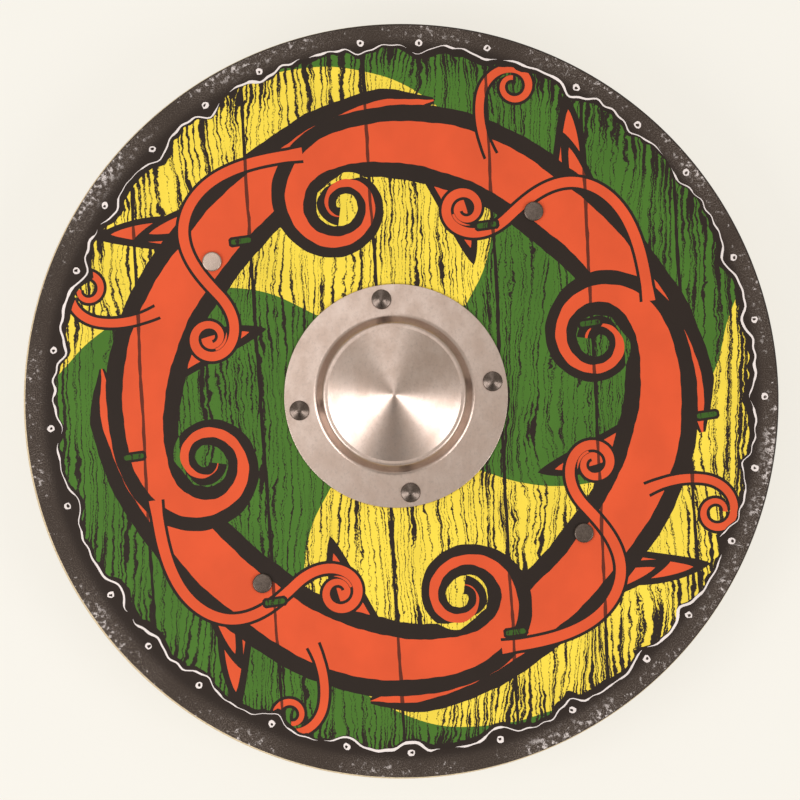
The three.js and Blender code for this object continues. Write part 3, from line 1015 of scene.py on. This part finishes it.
def rivet_steel(name, colour, painted_highlight_at=None):
    """Smooth darkened steel with light handling marks. One rivet, near the given place, gets a brighter colour: a
    painted highlight.
    """
    material, g, surface, place = new_material(name)
    marks = g.noise(g.scaled(place, (1 / 1.1, 1 / 1.1, 1 / 1.1)), 4.0, 0.6)
    smears = g.noise(g.scaled(place, (1 / 0.3, 1 / 2.2, 1 / 0.3)), 3.0)
    tone = g.mix(g.ramp(marks, 0.35, 0.7), opaque(colour), opaque(tuple(p * 0.72 for p in colour)))
    # Painted highlight: the rivet within 8 mm of this place gets a brighter steel colour.
    if painted_highlight_at:
        away = g.vector("SUBTRACT", g.scaled(place, (1, 1, 0)), (*painted_highlight_at, 0.0))
        near = g.math("LESS_THAN", g.add("ShaderNodeVectorMath", away, operation="LENGTH").outputs["Value"], 8.0)
        tone = g.mix(near, tone, opaque(tuple(min(p * 3.1, 0.8) for p in colour)))
    g.feed(surface.inputs["Base Color"], tone)
    g.feed(surface.inputs["Metallic"], 1.0)
    g.feed(surface.inputs["Roughness"], g.ramp(smears, 0.3, 0.7, 0.24, 0.36))
    bump(g, surface, marks, 0.05, 0.05)
    return material


def bored(piece, names, low, high):
    """Cuts the rivets' holes through a piece, between two heights in millimetres."""
    mesh = bmesh.new()
    for name in names:
        place = centre(name).xy / MM
        loop = circle(HOLE_RADIUS, 24, place)
        rings = [[mesh.verts.new((x * MM, y * MM, z * MM)) for x, y in loop] for z in (low, high)]
        for i in range(len(loop)):
            j = (i + 1) % len(loop)
            mesh.faces.new([rings[0][i], rings[0][j], rings[1][j], rings[1][i]])
        mesh.faces.new(rings[0][::-1])
        mesh.faces.new(rings[1])
    data = bpy.data.meshes.new("cutter")
    mesh.to_mesh(data)
    mesh.free()
    cutter = link(data, "cutter")
    modifier = piece.modifiers.new("Bore", "BOOLEAN")
    modifier.operation = "DIFFERENCE"
    modifier.object = cutter
    depsgraph = bpy.context.evaluated_depsgraph_get()
    result = bpy.data.meshes.new_from_object(piece.evaluated_get(depsgraph), depsgraph=depsgraph)
    piece.modifiers.remove(modifier)
    piece.data = result
    bpy.data.objects.remove(cutter)


# Straps

STRAP_CROWN = 80.0
STRAP_TAB = 30.0
STRAP_END = 12.0
CROWN_BEND = 26.0
TAB_BEND = 16.0


def rounded(corners, radii, step):
    """A line through corners that are rounded by arcs."""
    corners = [np.array(c, float) for c in corners]
    line = [corners[0]]
    for i, radius in enumerate(radii, 1):
        back = corners[i - 1] - corners[i]
        ahead = corners[i + 1] - corners[i]
        back /= np.linalg.norm(back)
        ahead /= np.linalg.norm(ahead)
        half = math.acos(np.clip(back @ ahead, -1, 1)) / 2
        inner = corners[i] + (back + ahead) / np.linalg.norm(back + ahead) * radius / math.sin(half)
        start = corners[i] + back * radius / math.tan(half) - inner
        end = corners[i] + ahead * radius / math.tan(half) - inner
        sweep = math.atan2(start[0] * end[1] - start[1] * end[0], start @ end)
        count = max(int(abs(sweep) * radius / step), 4)
        line += [inner + turned_by(start, sweep * k / count) for k in range(count + 1)]
    line.append(corners[-1])
    return np.array(line)


def strap_mesh(name, node, settings):
    """A bowed strap with round ends and eased edges, lofted along its side view."""
    low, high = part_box(node)
    place = centre(node) / MM
    thick = settings.thickness / MM
    half_width = settings.width / 2 / MM
    tab_z = high.z / MM - thick / 2
    crown_z = low.z / MM + thick / 2
    end = STRAP_RING[1] / math.sqrt(2) + STRAP_END
    knee = end - STRAP_TAB
    crown = STRAP_CROWN / 2
    side = rounded(
        [(-end, tab_z), (-knee, tab_z), (-crown, crown_z), (crown, crown_z), (knee, tab_z), (end, tab_z)],
        [TAB_BEND, CROWN_BEND, CROWN_BEND, TAB_BEND],
        1.5,
    )
    tips = np.linspace(0, half_width, 14)[:-1]
    start = [(-end + half_width * (1 - math.cos(t / half_width * math.pi / 2)), tab_z) for t in tips]
    line = np.array(start + [p for p in side if abs(p[0]) < end - half_width] + [(-x, z) for x, z in start[::-1]])
    along = np.gradient(line, axis=0)
    along /= np.linalg.norm(along, axis=1)[:, None]
    up = np.stack([-along[:, 1], along[:, 0]], axis=1)
    ease = thick * 0.32
    section = []
    for corner_x, corner_z, first in ((1, 1, 0), (-1, 1, 90), (-1, -1, 180), (1, -1, 270)):
        for k in range(5):
            a = math.radians(first + 22.5 * k)
            section.append((corner_x, corner_z, ease * math.cos(a), ease * math.sin(a)))
    turn = STRAP_RING[2] - math.radians(45)
    mesh = bmesh.new()
    rings = []
    for (y, z), (up_y, up_z) in zip(line, up):
        inset = max(half_width - (end - abs(y)), 0.0)
        half = math.sqrt(max(half_width**2 - inset**2, 0.0))
        half = max(half, ease + 0.02)
        ring = []
        for corner_x, corner_z, across, rise in section:
            x = corner_x * (half - ease) + across
            lift = corner_z * (thick / 2 - ease) + rise
            flat = turned_by(np.array([x, y + up_y * lift]), turn)
            ring.append(mesh.verts.new(((flat[0] + place.x) * MM, (flat[1] + place.y) * MM, (z + up_z * lift) * MM)))
        rings.append(ring)
    count = len(section)
    for one, two in zip(rings, rings[1:]):
        for i in range(count):
            j = (i + 1) % count
            mesh.faces.new([one[i], one[j], two[j], two[i]])
    mesh.faces.new(rings[0][::-1])
    mesh.faces.new(rings[-1])
    bmesh.ops.recalc_face_normals(mesh, faces=mesh.faces)
    data = bpy.data.meshes.new(name)
    mesh.to_mesh(data)
    mesh.free()
    return data


def strap_leather(name, settings, place, turn):
    """Brown leather: pebbled grain, a creased line along each edge and a burnished edge."""
    material, g, surface, spot = new_material(name)
    moved = g.vector("SUBTRACT", spot, (*place, 0.0))
    rotate = g.add("ShaderNodeVectorRotate", rotation_type="Z_AXIS")
    g.feed(rotate.inputs["Vector"], moved)
    g.feed(rotate.inputs["Angle"], -turn)
    across = g.math("ABSOLUTE", g.add("ShaderNodeSeparateXYZ", rotate.outputs[0]).outputs[0])
    half = settings.width / 2 / MM
    crease = g.ramp(g.math("ABSOLUTE", g.math("SUBTRACT", across, half - 3.2)), 0.25, 0.75, 1.0, 0.0)
    edge = g.ramp(across, half - 1.4, half - 0.5)
    cells = g.add("ShaderNodeTexVoronoi", feature="DISTANCE_TO_EDGE")
    g.feed(cells.inputs["Vector"], g.scaled(spot, (1 / 0.9, 1 / 0.9, 1 / 0.9)))
    g.feed(cells.inputs["Scale"], 1.0)
    pebble = g.ramp(cells.outputs["Distance"], 0.0, 0.25)
    cloud = g.noise(g.scaled(spot, (1 / 14, 1 / 18, 1 / 14)), 4.0)
    tone = g.mix(g.ramp(cloud, 0.3, 0.7), opaque(settings.leather), opaque(tuple(p * 0.62 for p in settings.leather)))
    tone = g.mix(g.math("MAXIMUM", edge, g.math("MULTIPLY", crease, 0.7)), tone, opaque(settings.edge))
    g.feed(surface.inputs["Base Color"], tone)
    g.feed(surface.inputs["Roughness"], g.ramp(cloud, 0.2, 0.8, 0.45, 0.62))
    height = g.math("SUBTRACT", g.math("MULTIPLY", pebble, 0.35), g.math("MULTIPLY", crease, 1.0))
    bump(g, surface, height, 0.5, 0.2)
    return material


# Operators


class SHIELD_OT_board(bpy.types.Operator):
    """Build the printed plywood board"""

    bl_idname = "shield.board"
    bl_label = "Printed Board"

    def execute(self, context):
        scene = context.scene
        data, inks = board_mesh(scene.shield_board, scene.shield_print)
        materials = board_materials(scene.shield_board, scene.shield_print)
        for ink in inks:
            data.materials.append(materials[ink])
        finished(link(data, "board_printed"), ["board"])
        return {"FINISHED"}


class SHIELD_OT_boss(bpy.types.Operator):
    """Build the pressed steel boss"""

    bl_idname = "shield.boss"
    bl_label = "Boss"

    def execute(self, context):
        settings = context.scene.shield_boss
        corners = boss_corners(settings)
        tree = turned_tree("Pressed Boss", list(corners))
        form = Vector((BOSS_CENTRE.x - 0.8, BOSS_CENTRE.y + 0.8))
        values = profile_values(corners)
        values.update({
            "Rounding Steps": 6,
            "Sides": settings.sides,
            "Form Offset": (-0.8 * MM, 0.8 * MM, 0.0),
            "Offset Starts At": 42 * MM,
            "Offset Ends At": (FLANGE_RADIUS - 1) * MM,
            "Ring Centre": (BOSS_CENTRE.x * MM, BOSS_CENTRE.y * MM, 0.0),
            "Material": flange_steel("boss_rolled_steel", settings.steel),
        })
        piece = grown("boss_pressed", tree, values)
        piece.data.materials.append(turned_steel("boss_turned_steel", settings.steel, form))
        reach = (settings.wall_foot - settings.wall_spread - settings.ledge * 0.5) / MM
        for face in piece.data.polygons:
            if (face.center.xy / MM - form).length < reach and face.normal.z > 0:
                face.material_index = 1
        bored(piece, BOSS_RIVETS, BOSS_LOW.z / MM - 1, BOSS_LOW.z / MM + 3)
        sharpen(piece, math.radians(35))
        finished(piece, ["boss"])
        return {"FINISHED"}


def rivet_rear(bearing, shank):
    """Corners of a rivet's rear washer and head, from its foot up to the shank."""
    return {
        "Rear Foot": (0.0, bearing - 2.2, 0.0),
        "Rear Rim": (3.8, bearing - 2.15, 0.8),
        "Rear Side": (4.0, bearing - 1.0, 0.1),
        "Washer Under": (6.0, bearing - 1.0, 0.2),
        "Washer Top": (6.0, bearing, 0.2),
        "Shank Low": (shank, bearing, 0.0),
    }


class SHIELD_OT_boss_rivets(bpy.types.Operator):
    """Build the four domed rivets of the boss"""

    bl_idname = "shield.boss_rivets"
    bl_label = "Boss Rivets"

    def execute(self, context):
        settings = context.scene.shield_rivets
        low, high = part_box(BOSS_RIVETS[0])
        seat = BOSS_LOW.z / MM + 1.0 + 0.3
        head = settings.head / MM
        top = high.z / MM
        corners = rivet_rear(BACK_Z - 0.3, 2.5)
        corners.update({
            "Shank High": (2.5, seat, 0.0),
            "Head Under": (head, seat, 0.1),
            "Head Rim": (head, seat + 1.0, 0.55),
            "Head Slope": (1.2, top - 0.25, 1.6),
            "Head Top": (0.0, top, 0.0),
        })
        self.build(context, corners, "boss_rivets", BOSS_RIVETS, BOSS_RING)
        return {"FINISHED"}

    @staticmethod
    def build(context, corners, name, nodes, ring, painted_highlight_at=None):
        settings = context.scene.shield_rivets
        material = rivet_steel(name + "_steel", settings.steel, painted_highlight_at)
        values = profile_values(corners)
        values.update({
            "Rounding Steps": 4,
            "Sides": settings.sides,
            "Ring Centre": (ring[0].x * MM, ring[0].y * MM, 0.0),
            "Ring Radius": ring[1] * MM,
            "Ring Turn": ring[2],
            "Ring Count": len(nodes),
            "Material": material,
        })
        piece = grown(name, turned_tree(name, list(corners)), values)
        sharpen(piece, math.radians(40))
        finished(piece, nodes)


class SHIELD_OT_strap_rivets(bpy.types.Operator):
    """Build the four flat rivets that hold the straps"""

    bl_idname = "shield.strap_rivets"
    bl_label = "Strap Rivets"

    def execute(self, context):
        settings = context.scene.shield_rivets
        low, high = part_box(STRAP_RIVETS[0])
        seat = FACE_Z + 0.3
        head = settings.flat_head / MM
        top = high.z / MM
        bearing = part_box(STRAPS[0])[1].z / MM - context.scene.shield_straps.thickness / MM - 0.3
        corners = rivet_rear(bearing, 2.5)
        corners.update({
            "Shank High": (2.5, seat, 0.0),
            "Head Under": (head, seat, 0.1),
            "Head Rim": (head, top - 0.42, 0.3),
            "Head Bevel": (head - 0.55, top - 0.04, 0.35),
            "Head Top": (0.0, top, 0.0),
        })
        # The second strap rivet gets a painted highlight in its colour.
        highlight_place = tuple(centre(STRAP_RIVETS[1]).xy / MM)
        SHIELD_OT_boss_rivets.build(context, corners, "strap_rivets", STRAP_RIVETS, STRAP_RING, highlight_place)
        return {"FINISHED"}


class SHIELD_OT_straps(bpy.types.Operator):
    """Build the two leather straps on the back"""

    bl_idname = "shield.straps"
    bl_label = "Straps"

    def execute(self, context):
        settings = context.scene.shield_straps
        for node, rivets in zip(STRAPS, ((1, 2), (0, 3))):
            data = strap_mesh(node + "_leather", node, settings)
            place = centre(node) / MM
            turn = STRAP_RING[2] - math.radians(45)
            data.materials.append(strap_leather(node + "_hide", settings, (place.x, place.y), turn))
            piece = link(data, node + "_leather")
            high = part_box(node)[1].z / MM
            bored(piece, [STRAP_RIVETS[i] for i in rivets], high - 6, high + 2)
            sharpen(piece, math.radians(50))
            finished(piece, [node])
        return {"FINISHED"}


class SHIELD_OT_studio(bpy.types.Operator):
    """Set the floor, the lamps and the camera"""

    bl_idname = "shield.studio"
    bl_label = "Studio"

    def execute(self, context):
        settings = context.scene.shield_studio
        self.floor(settings)
        self.lamps()
        self.flag()
        self.camera(context.scene, settings)
        world = bpy.data.worlds.new("studio")
        world.use_nodes = True
        backdrop = world.node_tree.nodes["Background"]
        backdrop.inputs["Color"].default_value = (1.0, 0.95, 0.86, 1.0)
        backdrop.inputs["Strength"].default_value = 0.55
        context.scene.world = world
        context.scene.view_settings.view_transform = "Standard"
        return {"FINISHED"}

    @staticmethod
    def floor(settings):
        data = bpy.data.meshes.new("floor")
        span = 6.0
        corners = [(-span, -span), (span, -span), (span, span), (-span, span)]
        data.from_pydata([(x, y, -0.3 * MM) for x, y in corners], [], [(0, 1, 2, 3)])
        material = bpy.data.materials.new("floor_pale")
        material.use_nodes = True
        surface = material.node_tree.nodes["Principled BSDF"]
        surface.inputs["Base Color"].default_value = opaque([part * 0.25 for part in settings.floor])
        surface.inputs["Roughness"].default_value = 0.9
        surface.inputs["Specular IOR Level"].default_value = 0.1
        surface.inputs["Emission Color"].default_value = opaque(settings.floor)
        surface.inputs["Emission Strength"].default_value = 0.725
        data.materials.append(material)
        link(data, "floor")

    @staticmethod
    def lamps():
        lamps = [
            ("overhead", (135.0, 74.5), 2.3, 1.24, 4.1),
            ("left_box", (205.0, 46.0), 1.7, 0.95, 11.5),
            ("right_box", (331.0, 46.0), 1.7, 0.75, 7.5),
            ("top_fill", (98.0, 46.0), 2.0, 0.9, 2.0),
        ]
        for name, (azimuth, elevation), distance, size, power in lamps:
            data = bpy.data.lights.new(name, "AREA")
            data.shape = "SQUARE"
            data.size = size
            data.energy = power
            data.color = (1.0, 0.99, 0.985)
            lamp = bpy.data.objects.new(name, data)
            bpy.context.scene.collection.objects.link(lamp)
            if elevation:
                a, e = math.radians(azimuth), math.radians(elevation)
                lamp.location = (distance * math.cos(a) * math.cos(e), distance * math.sin(a) * math.cos(e),
                                 distance * math.sin(e))
                lamp.rotation_euler = (-lamp.location).to_track_quat("-Z", "Y").to_euler()
            else:
                lamp.location = (0.0, 0.0, distance)

    @staticmethod
    def flag():
        """A dark card low in front, which the cone mirrors as its dark wedge."""
        data = bpy.data.meshes.new("dark_card")
        data.from_pydata([(-0.30, -1.10, 0.95), (0.22, -1.10, 0.95), (0.22, -0.90, 1.45), (-0.30, -0.90, 1.45)], [],
                         [(0, 1, 2, 3)])
        material = bpy.data.materials.new("card_black")
        material.use_nodes = True
        surface = material.node_tree.nodes["Principled BSDF"]
        surface.inputs["Base Color"].default_value = (0.01, 0.01, 0.01, 1.0)
        surface.inputs["Roughness"].default_value = 0.9
        data.materials.append(material)
        link(data, "dark_card")

    @staticmethod
    def camera(scene, settings):
        data = bpy.data.cameras.new("camera")
        data.sensor_width = 36.0
        data.lens = data.sensor_width * settings.distance / settings.frame_width
        data.dof.use_dof = False
        camera = bpy.data.objects.new("camera", data)
        camera.location = (-0.6 * MM, 0.65 * MM, FACE_Z * MM + settings.distance)
        scene.collection.objects.link(camera)
        scene.camera = camera


class SHIELD_PT_panel(bpy.types.Panel):
    """Lists the steps that dress the shield"""

    bl_idname = "SHIELD_PT_panel"
    bl_label = "Round Shield"
    bl_space_type = "VIEW_3D"
    bl_region_type = "UI"
    bl_category = "Shield"

    def draw(self, context):
        for operator in OPERATORS:
            self.layout.operator(operator.bl_idname)


OPERATORS = (
    SHIELD_OT_studio,
    SHIELD_OT_board,
    SHIELD_OT_boss,
    SHIELD_OT_boss_rivets,
    SHIELD_OT_strap_rivets,
    SHIELD_OT_straps,
)
SETTINGS = {
    "shield_print": ShieldPrintSettings,
    "shield_board": ShieldBoardSettings,
    "shield_boss": ShieldBossSettings,
    "shield_rivets": ShieldRivetSettings,
    "shield_straps": ShieldStrapSettings,
    "shield_studio": ShieldStudioSettings,
}


def register():
    for group in (*SETTINGS.values(), *OPERATORS, SHIELD_PT_panel):
        bpy.utils.register_class(group)
    for name, group in SETTINGS.items():
        setattr(bpy.types.Scene, name, PointerProperty(type=group))


def unregister():
    for name in SETTINGS:
        delattr(bpy.types.Scene, name)
    for group in (SHIELD_PT_panel, *reversed(OPERATORS), *reversed(SETTINGS.values())):
        bpy.utils.unregister_class(group)


def main():
    register()
    bpy.ops.shield.studio()
    bpy.ops.shield.board()
    bpy.ops.shield.boss()
    bpy.ops.shield.boss_rivets()
    bpy.ops.shield.strap_rivets()
    bpy.ops.shield.straps()


if __name__ == "__main__":
    main()
